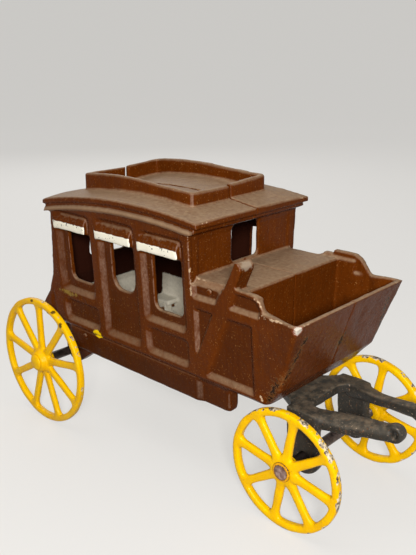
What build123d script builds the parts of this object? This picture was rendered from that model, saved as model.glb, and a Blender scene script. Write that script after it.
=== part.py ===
from build123d import *
from math import radians, tan
import os

# Toy stagecoach cast in iron: two body halves that meet on a centre seam, a
# forecarriage on a king pin, and four loose spoked wheels on two axles.
# Millimetres. X runs forward, Y to the coach's left, Z up from the ground.
# Stations along X are counted from the front axle, and centre_x moves the whole
# model so that its origin lies on the ground under the middle of its length.
# The right half is built first, on the side of negative Y, and so is the left
# half, which is then mirrored.

past = 200.0             # length that reaches past the whole model, for cutting shapes
overlap = 1.0            # length by which joined or cut shapes run into each other

# Wheels and axles
front_radius = 25.0
rear_radius = 31.7
rear_axle_x = -139.2
front_track = 64.4       # between the middles of the two rims
rear_track = 89.4
rim_width = 3.2
rim_depth = 3.1          # radial thickness of a rim
rim_bevel = 0.45
spoke_root = 4.0         # width of a spoke at the hub
spoke_end = 3.3          # and at the rim
spoke_depth = 2.6
hub_radius = 5.2
hub_length = 8.0
hub_bevel = 0.9
front_spokes = 8
rear_spokes = 9
front_spoke_turn = 80.0  # degrees, first spoke above the horizontal
rear_spoke_turn = 90.0
axle_radius = 2.2
axle_fit = 0.08          # radial play of a wheel on its axle, and of an axle in its legs
head_height = 1.1        # peened axle end outside the hub
front_head_radius = 2.8
rear_head_radius = 3.9
play = 0.4               # side play of a wheel between its stop and the head

# Body shell
wall = 2.2
panel_depth = 1.5        # how far the panels are sunk behind the ribs
lining = wall + panel_depth
side_half_width = 32.5   # half the width over the ribs at side_ref_z
side_ref_z = 60.0
side_lean = 2.9          # degrees, the sides lean outward going up
frame_bottom_z = 47.4    # underside of the panelled frame and of the front box
corner_round = 1.8       # bevel along the lower edge of the frame
cabin_front_x = -47.0
cabin_rear_x = -138.5
cabin_top_z = 116.0
boot_tail_x = -154.0     # the rear boot sweeps out to here
boot_tail_z = 55.0
boot_under_cut = 1.5
belly_bottom_z = 36.6
belly_front_x = -30.0
belly_rear_x = -134.0
belly_step = 0.9         # the belly is set back from the frame by this much
sill = 6.5               # thickness of the belly's side walls
# Rear wall: x behind cabin_rear_x, z
boot_curve = [(0.6, 99.8), (2.0, 87.2), (4.0, 73.2), (8.4, 63.5)]
# Inside of the rear wall: x in front of cabin_rear_x, z
boot_lining = [(2.2, 112.0), (-0.4, 84.0), (-2.2, 70.0), (-7.8, 58.0)]
# Openings of the rear and front walls: half their width, low z, high z, radius of their corners
rear_opening = (12.0, 77.8, 97.0, 3.0)
front_opening = (8.5, 92.5, 108.6, 2.0)
front_panel = (29.3, 107.0, 0.5)  # sunk field of the front wall: half width, top z, depth
belly_top_room_z = 62.0  # the hollow is filled in round its edge above this height

# Roof and luggage rail
eave_half_width = 36.2
eave_front_x = -41.4
eave_rear_x = -143.0
eave_end_z = 110.4       # top of the eave at its rear end
eave_crown_x = -97.0
eave_crown_z = 116.6     # top of the eave at its highest place
eave_front_z = 114.4
roof_camber = 1.3        # the roof is this much higher at the rail than at the eave
roof_front_drop = 1.0    # but its front edge is nearly level
lip_height = 2.4
cove_depth = 1.6
bead_slope = 1.7         # height of the bead's sloping top
bead_height = 1.9
bead_stand = 0.4         # the bead stays this far behind the lip
bead_front_x = -43.3
bead_end_height = 0.2     # the bead's underside rises to leave this much of it in front
rail_half_width = 23.3
rail_front_x = -55.4
rail_rear_x = -126.3
rail_thickness = 2.6
rail_corner = 2.2
rail_end_z = 122.4       # top of the rail at its rear end
rail_crown_x = -104.0
rail_crown_z = 124.5
rail_bend_x = -78.0      # the arched top runs straight from here to the front
rail_bend_z = 123.6
rail_front_z = 122.4
right_front_gap = 1.1    # the ends of the rail stop short of the seam
left_rear_gap = 2.0
left_seam_rise = 0.4     # the left roof stands higher than the right one at the seam
left_side_rise = 1.9     # and at the side of its rail

# Front box with its seat and flared foot board
box_front_x = -12.6
dash_top_x = 7.3
dash_top_z = 85.9
dash_half_width = 37.2
dash_knee_x = -2.6
dash_knee_z = 56.5
dash_knee_half = 33.0
dash_foot_x = -9.9
dash_foot_half_width = 28.6
dash_foot_wall = 1.4      # thickness of the foot board at its foot
floor_thickness = 2.4
floor_rear_x = -44.0     # the hollow is open underneath behind this station
deck_z = 91.0            # top of the seat
seat_edge = (-31.0, 32.4, 30.1, 88.8)  # slope of its side edge: front x, low and top y, low z
seat_front_x = -21.0
arm_thickness = 2.8
rim_low_z = 83.8
# Arm rests: x, z of the outline above the rim, from the rear to the front
right_arm = [(-24.0, 92.4), (-18.0, 92.0), (-15.0, 91.8), (-13.3, 91.0), (-12.0, 89.6),
             (-10.9, 87.4), (-9.9, 85.4), (-8.3, 84.2)]
left_arm = [(-24.0, 94.0), (-15.0, 93.9), (-13.0, 93.7), (-10.6, 92.3), (-8.5, 90.0),
            (-6.6, 87.6), (-5.2, 85.8), (-3.6, 84.3)]
arm_sink = 6.0           # the arm rest reaches this far down into the box
# Brace across the side: rear x, front x, z at its foot and at the arm rest
brace_foot = (-47.2, -40.5, 53.0)
brace_top = (-29.0, -24.0, 92.2)
# Head of the brace, which stands above the seat on the right half only
post_outline = [(-24.0, 92.2), (-20.7, 100.0), (-20.9, 101.2), (-22.4, 102.7), (-23.8, 102.5),
                (-25.2, 99.6), (-29.0, 92.2)]
post_root = (-31.0, -27.0)  # rear and front x where it runs into the brace
post_inset = 8.3         # thickness of the post across the coach

# Panels of the side: name, rear x, front x, low z, high z at the ribs, and the same sunk
panels = [
    ("rear_window", -136.2, -109.6, 66.6, 106.8, -131.2, -110.9, 69.5, 105.6),
    ("rear_low", -134.9, -108.4, 50.9, 63.0, -131.6, -109.7, 53.7, 61.8),
    ("door", -104.5, -79.6, 51.3, 107.6, -101.0, -81.0, 54.8, 106.4),
    ("front_window", -76.4, -50.6, 66.3, 106.8, -73.2, -51.9, 69.0, 105.6),
    ("front_low", -76.3, -49.9, 50.9, 63.9, -73.3, -51.2, 53.7, 62.7),
]
panel_corner = 2.4
# Panels of the front box: corners x, z at the ribs, then the same corners sunk
box_panels = [
    ("brace_rear", [(-45.8, 79.6), (-45.8, 57.6), (-35.6, 79.6)],
     [(-44.6, 78.6), (-44.6, 61.4), (-37.0, 78.6)]),
    ("brace_front", [(-28.6, 79.6), (-16.0, 79.6), (-15.2, 50.2), (-41.0, 50.2)],
     [(-28.0, 78.2), (-17.4, 78.2), (-16.8, 52.8), (-38.6, 52.8)]),
    ("seat_side", [(-46.4, 83.4), (-34.0, 83.4), (-29.6, 92.0), (-46.4, 92.0)],
     [(-45.2, 85.2), (-34.8, 85.2), (-31.4, 92.0), (-45.2, 92.0)]),
    ("arm_side", [(-27.4, 83.3), (-12.6, 83.1), (-11.2, 85.4), (-13.6, 89.6), (-16.6, 90.7), (-24.2, 90.7)],
     [(-25.6, 85.0), (-14.2, 84.9), (-12.6, 86.0), (-14.6, 88.8), (-17.2, 89.7), (-23.6, 89.7)]),
]
# Window openings: name, rear x, front x, low z, radius of the low corners
windows = [
    ("rear", -128.0, -111.6, 73.4, 3.2),
    ("door", -97.0, -82.6, 75.6, 5.6),
    ("front", -70.2, -53.4, 72.4, 3.2),
]
window_top_z = 97.0
# Rolled curtains over the windows: name, rear x, front x
hoods = [
    ("rear", -136.2, -112.8),
    ("middle", -105.4, -81.8),
    ("front", -77.1, -53.3),
]
hood_low_z = 97.5
hood_high_z = 101.3
hood_top_z = 106.0
hood_stand = 0.7
hood_reach = 20.0        # the hoods are trimmed back to this distance from the seam

# Axle legs of the body and king pin
leg_outer_y = 25.5
leg_inner_y = 20.5
leg_half_width = 7.0
leg_web_x = -120.0       # the slanting web in front of the leg runs up to here
leg_web_drop = 6.0
leg_pad_rear = 12.0
pad_outer_y = 30.0
pivot_x = -33.0
pivot_radius = 2.4
pivot_fit = 0.08
pivot_head_radius = 4.4
pivot_head_height = 1.4
pivot_slack = 0.2        # end play of the king pin under the forecarriage
boss_radius = 5.4        # raised pad of the forecarriage under the body's floor

# Forecarriage
plate_top_z = 44.4
plate_thickness = 4.2
plate_tail = 6.0         # the plate reaches this far behind the pivot
plate_tail_half = 5.0
# Plate outline on one side: x, distance from the seam
plate_side = [(-33.0, 7.0), (-20.0, 9.0), (-11.6, 14.3), (-6.0, 20.4), (4.6, 20.4), (5.4, 19.4), (5.4, 12.6)]
# Mouth between the arms on one side: x, distance from the seam
plate_mouth = [(-3.6, 0.0), (-3.6, 8.0), (-1.0, 12.6), (6.0, 12.6), (6.0, 0.0)]
mouth_corner = 2.4
fork_outer_y = 20.4
fork_inner_y = 15.6
fork_rear_x = -9.0
fork_front_x = 5.4
fork_bottom_z = 17.8
fork_waist = 1.2
# Draw arms: x, inner and outer distance from the seam, inner low and top z, outer low and top z
arm_sections = [
    (2.0, 12.6, 20.2, 40.2, 44.4, 40.2, 44.4),
    (9.0, 9.9, 18.4, 40.9, 44.8, 38.9, 42.9),
    (18.0, 8.6, 16.4, 41.7, 45.6, 39.6, 43.2),
    (27.0, 8.0, 13.6, 42.7, 46.6, 41.3, 44.9),
    (33.0, 7.7, 12.6, 43.0, 47.0, 42.4, 46.0),
]
eye_x = 33.0
eye_z = 44.6
eye_radius = 3.6
eye_bore = 1.6
eye_inner_y = 7.4
eye_outer_y = 12.6

# Rivets across the body: name, x, z, how far their heads sit inside the ribs
rivets = [("front", -38.0, 87.5, 1.5), ("rear", -122.0, 45.0, 0.9)]
rivet_radius = 1.0
rivet_head_radius = 1.25
rivet_head_height = 0.6
rivet_lift = 0.02

centre_x = (eye_x + eye_radius + rear_axle_x - rear_radius) / 2


def half_width(z):
    """Half the width over the ribs at height z."""
    return side_half_width + tan(radians(side_lean)) * (z - side_ref_z)


def flat_face(points):
    """A plane face through a list of corners."""
    return Face(Wire.make_polygon(points))


def slab(points, y0, y1):
    """A solid whose outline in X and Z runs through points, from y0 to y1."""
    return extrude(flat_face([(x, y0, z) for x, z in points]), amount=y1 - y0, dir=(0, 1, 0))


def block(x0, x1, y0, y1, z0, z1):
    """A box between two corners."""
    size = (x1 - x0, y1 - y0, z1 - z0)
    return Pos((x0 + x1) / 2, (y0 + y1) / 2, (z0 + z1) / 2) * Box(*size)


def rod(x, z, radius, y0, y1):
    """A round bar along Y."""
    return Pos(x, (y0 + y1) / 2, z) * Rot(90, 0, 0) * Cylinder(radius, y1 - y0)


def upright(x, y, radius, z0, z1):
    """A round bar along Z."""
    return Pos(x, y, (z0 + z1) / 2) * Cylinder(radius, z1 - z0)


def head(x, z, radius, y, height):
    """A peened end with a rounded edge, standing out from y to y + height."""
    low, high = sorted((y, y + height))
    disc = rod(x, z, radius, low, high)
    end = disc.edges().filter_by(GeomType.CIRCLE).sort_by(Axis.Y)[-1 if height > 0 else 0]
    return fillet(end, abs(height) * 0.75)


def eave_outline(y, lift, inset, low_z, front_drop=0):
    """Side view of the roof at y: an arched top, lift above the eave's line."""
    rear_x = eave_rear_x + inset
    top = ThreePointArc(
        (rear_x, y, eave_end_z + lift),
        (eave_crown_x, y, eave_crown_z + lift),
        (eave_front_x, y, eave_front_z + lift - front_drop),
    )
    rest = Polyline(top @ 1, (eave_front_x, y, low_z), (rear_x, y, low_z), top @ 0)
    return Face(Wire([top, *rest.edges()]))


def rail_outline(y, lift):
    """Side view of the luggage rail at y: an arched top that ends in a straight run."""
    top = ThreePointArc(
        (rail_rear_x - rail_thickness, y, rail_end_z + lift),
        (rail_crown_x, y, rail_crown_z + lift),
        (rail_bend_x, y, rail_bend_z + lift),
    )
    rest = Polyline(
        top @ 1,
        (rail_front_x + rail_thickness, y, rail_front_z + lift),
        (rail_front_x + rail_thickness, y, eave_end_z),
        (rail_rear_x - rail_thickness, y, eave_end_z),
        top @ 0,
    )
    return Face(Wire([top, *rest.edges()]))


def side_prism(inset, y_in, z0, z1, x0, x1):
    """The room between the centre and a leaning side, inset from its skin."""
    corners = [
        (x0, y_in, z0),
        (x0, -(half_width(z0) - inset), z0),
        (x0, -(half_width(z1) - inset), z1),
        (x0, y_in, z1),
    ]
    return extrude(flat_face(corners), amount=x1 - x0, dir=(1, 0, 0))


def side_plane():
    """The plane of the ribs, its own Y running up the leaning side."""
    lean = Vector(0, -1, -tan(radians(side_lean))).normalized()
    return Plane(origin=(0, -half_width(0), 0), x_dir=(1, 0, 0), z_dir=lean)


def sunk_panel(x0, x1, z0, z1, u0, u1, w0, w1):
    """A pocket with rounded corners whose edges slope down to its sunk field."""
    def field(left, right, low, high, depth):
        plate = Pos((left + right) / 2, (low + high) / 2, depth) * RectangleRounded(
            right - left, high - low, panel_corner)
        return side_plane() * plate
    return loft([field(x0, x1, z0, z1, 0), field(u0, u1, w0, w1, -panel_depth)], ruled=True)


def sunk_outline(outer, inner):
    """A pocket through corners at the ribs and the same corners at its sunk field."""
    plane = side_plane()
    low = plane * flat_face([(x, z, -panel_depth) for x, z in inner])
    high = plane * flat_face([(x, z, 0) for x, z in outer])
    return loft([high, low], ruled=True)


def cabin_block():
    """The cabin with its rear boot, from the centre seam to the outer skin."""
    profile = [
        (cabin_front_x, frame_bottom_z),
        (cabin_front_x, cabin_top_z),
        (cabin_rear_x, cabin_top_z),
        *[(cabin_rear_x - back, z) for back, z in boot_curve],
        (boot_tail_x, boot_tail_z),
        (boot_tail_x + boot_under_cut, frame_bottom_z),
    ]
    under_roof = extrude(eave_outline(0, -lip_height, 0, 0), amount=past, dir=(0, -1, 0))
    skin = side_prism(0, 0, belly_bottom_z, cabin_top_z + wall, -past, 0)
    return slab(profile, -past, 0) & skin & under_roof


def roof_block(seam_rise, side_rise):
    """The roof with its lip and bead, cambered from the eave up to the rail and the seam."""
    low_z = eave_end_z - lip_height - bead_slope - 2 * bead_height
    top = [
        eave_outline(-eave_half_width, 0, 0, low_z),
        eave_outline(-rail_half_width, roof_camber + side_rise, 0, low_z,
                     roof_front_drop + side_rise),
        eave_outline(0, roof_camber + seam_rise, 0, low_z, roof_front_drop),
    ]
    solid = loft(top, ruled=True)
    # Under the lip the eave steps in, and slopes out again to the bead
    lip_cut = extrude(eave_outline(0, -lip_height, 0, 0), amount=past, dir=(0, -1, 0))
    solid = solid - lip_cut
    slope_low = -lip_height - bead_slope
    cove = eave_half_width - cove_depth
    bead = eave_half_width - bead_stand
    core = extrude(eave_outline(0, -lip_height, cove_depth, low_z), amount=cove, dir=(0, -1, 0))
    flare = loft([eave_outline(-cove, -lip_height, cove_depth, low_z),
                  eave_outline(-bead, slope_low, bead_stand, low_z)], ruled=True)
    under_slope = extrude(eave_outline(0, slope_low, bead_stand, low_z), amount=bead, dir=(0, -1, 0))
    low_line = slope_low - bead_height
    under = extrude(eave_outline(0, low_line, 0, 0), amount=past, dir=(0, -1, 0))
    moulding = core + flare + under_slope - under
    moulding = moulding - block(bead_front_x, past, -past, 0, 0, past)
    # In front of the cabin the underside slopes up to the bead's end
    end_z = eave_front_z + slope_low - bead_end_height
    soffit = slab([(cabin_front_x, eave_front_z + low_line), (bead_front_x, end_z),
                   (bead_front_x, 0), (cabin_front_x, 0)], -past, 0)
    return solid + (moulding - soffit)


def rail_block(seam_rise, side_rise, front_gap, rear_gap):
    """The luggage rail round the roof, its ends stopping short of the seam."""
    def ring(inset, corner):
        x0, x1 = rail_rear_x + inset, rail_front_x - inset
        half = rail_half_width - inset
        solid = block(x0, x1, -half, half, eave_end_z, past)
        return fillet(solid.edges().filter_by(Axis.Z), corner)
    walls = ring(0, rail_corner) - ring(rail_thickness, rail_corner / 2)
    under_top = loft([rail_outline(-rail_half_width - rail_thickness, side_rise),
                      rail_outline(0, seam_rise)], ruled=True)
    walls = walls & under_top
    if front_gap:
        walls = walls - block(rail_bend_x, past, -front_gap, 0, eave_end_z, past)
    if rear_gap:
        walls = walls - block(-past, rail_bend_x, -rear_gap, 0, eave_end_z, past)
    return walls


def dash_ring(z, x_back, x_front, y_front, y_back):
    """A level section of the flared foot board, from the seam outward."""
    return flat_face([
        (x_back, 0, z),
        (x_front, 0, z),
        (x_front, -y_front, z),
        (box_front_x, -y_back, z),
        (x_back, -y_back, z),
    ])


def front_box_block():
    """The front box and the flared foot board, as one solid lump."""
    body = side_prism(0, 0, frame_bottom_z, deck_z, cabin_front_x, box_front_x)
    back_x = box_front_x - wall
    foot = dash_ring(frame_bottom_z, back_x, dash_foot_x, dash_foot_half_width, half_width(frame_bottom_z))
    knee = dash_ring(dash_knee_z, back_x, dash_knee_x, dash_knee_half, half_width(dash_knee_z))
    top = dash_ring(dash_top_z, back_x, dash_top_x, dash_half_width, half_width(dash_top_z))
    return body + loft([foot, knee], ruled=True) + loft([knee, top], ruled=True)


def seat_edge_cut():
    """The room over the slope along the side edge of the seat."""
    front_x, low_y, top_y, low_z = seat_edge
    slope = (low_y - top_y) / (deck_z - low_z)
    section = flat_face([
        (cabin_front_x, -past, low_z),
        (cabin_front_x, -low_y, low_z),
        (cabin_front_x, overlap * slope - top_y, deck_z + overlap),
        (cabin_front_x, -past, deck_z + overlap),
    ])
    return extrude(section, amount=front_x - cabin_front_x, dir=(1, 0, 0))


def wall_opening(x0, x1, half, z0, z1, corner):
    """The room of an opening with rounded corners through a wall across the coach."""
    room = block(x0, x1, -half, half, z0, z1)
    return fillet(room.edges().filter_by(Axis.X), corner)


def foot_well():
    """The open space in front of the seat, down to the floor of the box."""
    floor_z = frame_bottom_z + floor_thickness
    top_z = deck_z + arm_sink
    rise = (top_z - dash_knee_z) / (dash_top_z - dash_knee_z)
    foot = dash_ring(floor_z, seat_front_x, dash_foot_x - dash_foot_wall, dash_foot_half_width - wall,
                     half_width(floor_z) - lining)
    knee = dash_ring(dash_knee_z, seat_front_x, dash_knee_x - wall, dash_knee_half - wall,
                     half_width(dash_knee_z) - lining)
    top = dash_ring(top_z, seat_front_x, dash_knee_x - wall + rise * (dash_top_x - dash_knee_x),
                    dash_knee_half - wall + rise * (dash_half_width - dash_knee_half),
                    half_width(top_z) - lining)
    return loft([foot, knee], ruled=True) + loft([knee, top], ruled=True)


def arm_rest(outline):
    """The side above the seat and the foot well."""
    rear_x = outline[0][0]
    front_x = outline[-1][0]
    low_z = rim_low_z - arm_sink
    cheek = slab([(rear_x, low_z), *outline, (front_x, low_z)], -past, 0)
    inner_y = half_width(deck_z) - arm_thickness
    return cheek & side_prism(0, -inner_y, low_z, deck_z + arm_sink, -past, 0)


def brace():
    """The slanting brace, flush with the ribs."""
    rear_low, front_low, low_z = brace_foot
    rear_high, front_high, high_z = brace_top
    shape = slab([(rear_low, low_z), (front_low, low_z), (front_high, high_z), (rear_high, high_z)], -past, 0)
    return shape & side_prism(0, -(half_width(high_z) - arm_thickness), low_z, high_z, -past, 0)


def post():
    """The head of the brace, a thick block above the seat."""
    low_z = deck_z - arm_sink
    high_z = deck_z + 2 * arm_sink
    shape = slab([*post_outline, (post_root[0], low_z), (post_root[1], low_z)], -past, 0)
    inner_y = half_width(post_outline[1][1]) - post_inset
    return shape & side_prism(0, -inner_y, low_z, high_z, -past, 0)


def hollow():
    """The room inside the cabin, under the seat, and between the belly's sills."""
    inside = slab([
        (cabin_front_x - wall, 0),
        (cabin_front_x - wall, boot_lining[0][1]),
        *[(cabin_rear_x + ahead, z) for ahead, z in boot_lining],
        (cabin_rear_x + boot_lining[-1][0], 0),
    ], -past, 0) & side_prism(lining, 0, 0, past, -past, 0)
    ceiling = extrude(eave_outline(0, -lip_height - wall, 0, side_ref_z), amount=past, dir=(0, -1, 0))
    inside = inside & (ceiling + block(-past, 0, -past, 0, 0, belly_top_room_z))
    floor_top = frame_bottom_z + floor_thickness
    joint_x = cabin_front_x - wall - overlap
    under_seat = side_prism(lining, 0, floor_top, deck_z - wall, joint_x, seat_front_x - wall)
    down = block(joint_x, floor_rear_x, -(half_width(floor_top) - lining), 0, 0, floor_top + overlap)
    sills = block(-past, 0, -(half_width(belly_bottom_z) - belly_step - sill), 0, 0, frame_bottom_z)
    return inside + under_seat + down + sills


def axle_leg():
    """The leg that carries the rear axle, with its slanting web and the pad it hangs from."""
    leg = block(rear_axle_x - leg_half_width, rear_axle_x + leg_half_width,
                -leg_outer_y, -leg_inner_y, rear_radius, frame_bottom_z)
    leg = leg + rod(rear_axle_x, rear_radius, leg_half_width, -leg_outer_y, -leg_inner_y)
    web = slab([(rear_axle_x + leg_half_width / 2, rear_radius - leg_web_drop),
                (leg_web_x, belly_bottom_z), (leg_web_x, frame_bottom_z),
                (rear_axle_x, frame_bottom_z)], -leg_outer_y, -leg_inner_y)
    pad = block(rear_axle_x - leg_pad_rear, leg_web_x + wall, -pad_outer_y, -leg_inner_y,
                frame_bottom_z, frame_bottom_z + floor_thickness)
    return leg + web + pad


def body_half(arm_outline, with_post, seam_rise, side_rise, front_gap, rear_gap):
    """One half of the body, cast hollow and open underneath."""
    shell = cabin_block() + roof_block(seam_rise, side_rise)
    shell = shell + rail_block(seam_rise, side_rise, front_gap, rear_gap)
    shell = shell + (front_box_block() - seat_edge_cut()) + arm_rest(arm_outline) + brace()
    belly = side_prism(belly_step, 0, belly_bottom_z, frame_bottom_z + overlap, belly_rear_x,
                        belly_front_x)
    shell = shell + belly

    for name, x0, x1, z0, z1, u0, u1, w0, w1 in panels:
        shell = shell - sunk_panel(x0, x1, z0, z1, u0, u1, w0, w1)
    for name, outer, inner in box_panels:
        shell = shell - sunk_outline(outer, inner)
    if with_post:
        shell = shell + post()

    for name, x0, x1 in hoods:
        roll = block(x0, x1, -past, -hood_reach, hood_low_z, hood_high_z)
        shell = shell + (roll & side_prism(-hood_stand, -hood_reach, 0, cabin_top_z, -past, 0))
        slope = flat_face([
            (x0, -(half_width(hood_high_z) + hood_stand), hood_high_z),
            (x0, -(half_width(hood_top_z) - panel_depth), hood_top_z),
            (x0, -hood_reach, hood_top_z),
            (x0, -hood_reach, hood_high_z),
        ])
        shell = shell + extrude(slope, amount=x1 - x0, dir=(1, 0, 0))

    shell = shell - hollow()
    for name, x0, x1, z0, radius in windows:
        opening = block(x0, x1, -past, -hood_reach, z0, window_top_z)
        low = opening.edges().filter_by(Axis.Y).group_by(Axis.Z)[0]
        shell = shell - fillet(low, radius)
    shell = shell - wall_opening(-past, cabin_rear_x + hood_reach, *rear_opening)
    shell = shell - wall_opening(cabin_front_x - hood_reach, cabin_front_x + wall, *front_opening)
    half, top_z, depth = front_panel
    shell = shell - block(cabin_front_x - depth, cabin_front_x + wall, -half, 0, deck_z, top_z)
    shell = shell - foot_well()

    # Bevel along the bottom edge of the frame
    edge_y = half_width(frame_bottom_z)
    bevel = extrude(flat_face([
        (-past, -edge_y - overlap, frame_bottom_z - overlap),
        (-past, -edge_y - overlap, frame_bottom_z + corner_round + overlap),
        (-past, -edge_y + corner_round + overlap, frame_bottom_z - overlap),
    ]), amount=past, dir=(1, 0, 0))
    shell = shell - (bevel - block(-past, belly_front_x, -past, 0, 0, frame_bottom_z))

    shell = shell + axle_leg()
    shell = shell - rod(rear_axle_x, rear_radius, axle_radius + axle_fit, -past, 0)
    floor_top = frame_bottom_z + floor_thickness
    shell = shell - upright(pivot_x, 0, pivot_radius + pivot_fit, 0, floor_top + overlap)
    for name, x, z, depth in rivets:
        shell = shell - rod(x, z, rivet_radius, -past, 0)
    return shell


def wheel(radius, spokes, turn, x, y, z):
    """A cast wheel: rim, tapered spokes and a hub bored for its axle."""
    rim = Cylinder(radius, rim_width)
    rim = chamfer(rim.edges().filter_by(GeomType.CIRCLE), rim_bevel)
    solid = rim - Cylinder(radius - rim_depth, rim_width)
    hub = Cylinder(hub_radius, hub_length)
    solid = solid + chamfer(hub.edges().filter_by(GeomType.CIRCLE), hub_bevel)
    start = hub_radius / 2
    stop = radius - rim_depth / 2
    spoke = flat_face([
        (start, -spoke_root / 2, -spoke_depth / 2),
        (stop, -spoke_end / 2, -spoke_depth / 2),
        (stop, spoke_end / 2, -spoke_depth / 2),
        (start, spoke_root / 2, -spoke_depth / 2),
    ])
    for k in range(spokes):
        bar = extrude(spoke, amount=spoke_depth, dir=(0, 0, 1))
        solid = solid + Rot(0, 0, turn + 360 / spokes * k) * bar
    solid = solid - Cylinder(axle_radius + axle_fit, hub_length * 2)
    return Pos(x, y, z) * Rot(90, 0, 0) * solid


def axle(x, z, track, head_radius):
    """A steel axle whose ends are peened over outside the hubs."""
    reach = track / 2 + hub_length / 2 + play
    bar = rod(x, z, axle_radius, -reach, reach)
    return bar + head(x, z, head_radius, reach, head_height) + head(x, z, head_radius, -reach, -head_height)


def draw_arm(side):
    """A draw arm that bends inward, tapers and rises to its eye."""
    sections = []
    for x, inner, outer, inner_low, inner_top, outer_low, outer_top in arm_sections:
        sections.append(flat_face([
            (x, side * inner, inner_low),
            (x, side * inner, inner_top),
            (x, side * outer, outer_top),
            (x, side * outer, outer_low),
        ]))
    y0, y1 = sorted((side * eye_inner_y, side * eye_outer_y))
    bar = loft(sections) + rod(eye_x, eye_z, eye_radius, y0, y1)
    return bar - rod(eye_x, eye_z, eye_bore, -past, past)


def forecarriage():
    """The black casting: a plate on the king pin, two axle forks and two draw arms."""
    z0 = plate_top_z - plate_thickness
    right = [(pivot_x - plate_tail, plate_tail_half), *plate_side]
    outline = [(x, -y, z0) for x, y in right] + [(x, y, z0) for x, y in reversed(right)]
    solid = extrude(flat_face(outline), amount=plate_thickness, dir=(0, 0, 1))
    for side in (-1, 1):
        y0, y1 = sorted((side * fork_inner_y, side * fork_outer_y))
        fork = slab([(fork_rear_x, plate_top_z), (fork_rear_x + fork_waist, front_radius),
                     (fork_front_x, front_radius), (fork_front_x, plate_top_z)], y0, y1)
        fork = fork + rod(0, front_radius, front_radius - fork_bottom_z, y0, y1)
        solid = solid + fork
    mouth = [(x, -y, 0) for x, y in plate_mouth] + [(x, y, 0) for x, y in reversed(plate_mouth[1:-1])]
    cut = extrude(flat_face(mouth), amount=past, dir=(0, 0, 1))
    corners = cut.edges().filter_by(Axis.Z).group_by(Axis.X)[0]
    solid = solid - fillet(corners, mouth_corner)
    solid = solid + draw_arm(-1) + draw_arm(1)
    solid = solid + upright(pivot_x, 0, boss_radius, z0, frame_bottom_z - pivot_fit)
    solid = solid - rod(0, front_radius, axle_radius + axle_fit, -past, past)
    return solid - upright(pivot_x, 0, pivot_radius + pivot_fit, 0, past)


def king_pin():
    """The rivet that the forecarriage turns on, headed at both ends."""
    low = plate_top_z - plate_thickness - pivot_slack
    high = frame_bottom_z + floor_thickness
    pin = upright(pivot_x, 0, pivot_radius, low - pivot_head_height, high + pivot_head_height)
    pin = pin + upright(pivot_x, 0, pivot_head_radius, low - pivot_head_height, low)
    return pin + upright(pivot_x, 0, pivot_head_radius, high, high + pivot_head_height)


def body_rivet(x, z, depth):
    """A steel rivet across the body, peened over on both sides."""
    reach = half_width(z + rivet_head_radius) - depth + rivet_lift
    pin = rod(x, z, rivet_radius, -reach, reach)
    for side in (-1, 1):
        pin = pin + head(x, z, rivet_head_radius, side * reach, side * rivet_head_height)
    return pin


def write(name, solid):
    """Move a node from axle stations to the model's origin and write its STEP file."""
    moved = Pos(-centre_x, 0, 0) * solid
    export_step(moved, f"parts/{name}.step")


os.makedirs("parts", exist_ok=True)
write("body_right", body_half(right_arm, True, 0, 0, right_front_gap, 0))
left = body_half(left_arm, False, left_seam_rise, left_side_rise, 0, left_rear_gap)
write("body_left", mirror(left, about=Plane.XZ))
for name, x, z, depth in rivets:
    write(f"body_rivet_{name}", body_rivet(x, z, depth))
write("king_pin", king_pin())
write("forecarriage", forecarriage())
write("front_axle", axle(0, front_radius, front_track, front_head_radius))
write("rear_axle", axle(rear_axle_x, rear_radius, rear_track, rear_head_radius))
for side_name, side in (("right", -1), ("left", 1)):
    write(f"front_wheel_{side_name}",
          wheel(front_radius, front_spokes, front_spoke_turn, 0, side * front_track / 2, front_radius))
    write(f"rear_wheel_{side_name}",
          wheel(rear_radius, rear_spokes, rear_spoke_turn, rear_axle_x, side * rear_track / 2, rear_radius))
print("centre_x", centre_x)
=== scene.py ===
from math import cos, radians, sin, tau

import bmesh
import bpy
import numpy as np
from mathutils import Matrix


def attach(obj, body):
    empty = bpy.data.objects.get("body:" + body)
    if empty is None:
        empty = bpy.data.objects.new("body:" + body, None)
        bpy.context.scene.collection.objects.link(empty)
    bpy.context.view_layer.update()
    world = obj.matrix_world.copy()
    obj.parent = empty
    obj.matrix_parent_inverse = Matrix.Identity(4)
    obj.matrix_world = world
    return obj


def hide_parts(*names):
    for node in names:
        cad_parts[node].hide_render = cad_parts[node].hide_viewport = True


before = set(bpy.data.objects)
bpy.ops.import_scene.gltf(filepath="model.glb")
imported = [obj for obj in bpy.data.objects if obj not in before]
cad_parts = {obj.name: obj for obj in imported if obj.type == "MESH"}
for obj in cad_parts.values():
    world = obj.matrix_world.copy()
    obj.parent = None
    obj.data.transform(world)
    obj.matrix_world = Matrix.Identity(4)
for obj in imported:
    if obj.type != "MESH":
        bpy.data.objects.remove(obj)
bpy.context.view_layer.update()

# Body halves. The coach body is two hollow iron castings that meet on a centre
# seam. Sand casting rounds every edge a little and leaves the flats slightly
# wavy, and thick brown paint, dusty on top and worn on its corners, covers them.
# Its corners also carry painted highlights, and painted shade, a painted
# reflection and a painted pool of light are added to the paint.
centre_x = -0.06715      # stations along x count forward from the front axle, the origin is here
body_voxel = 0.00042
body_passes = 6
body_wave = 0.00006
body_triangles = 190000
broad_passes = 8         # further smoothing that tells what stands out from what lies in
soft_passes = 14         # and what the rounder stretches have on top of it
wave_length = 0.009
side_half = 0.0325       # half the width over the ribs at the height side_at
side_at = 0.060
side_slope = 0.05066
frame_low = 0.0474       # underside of the panelled frame
frame_bevel = 0.0018
wall = 0.0037
panel_depth = 0.0015
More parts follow.
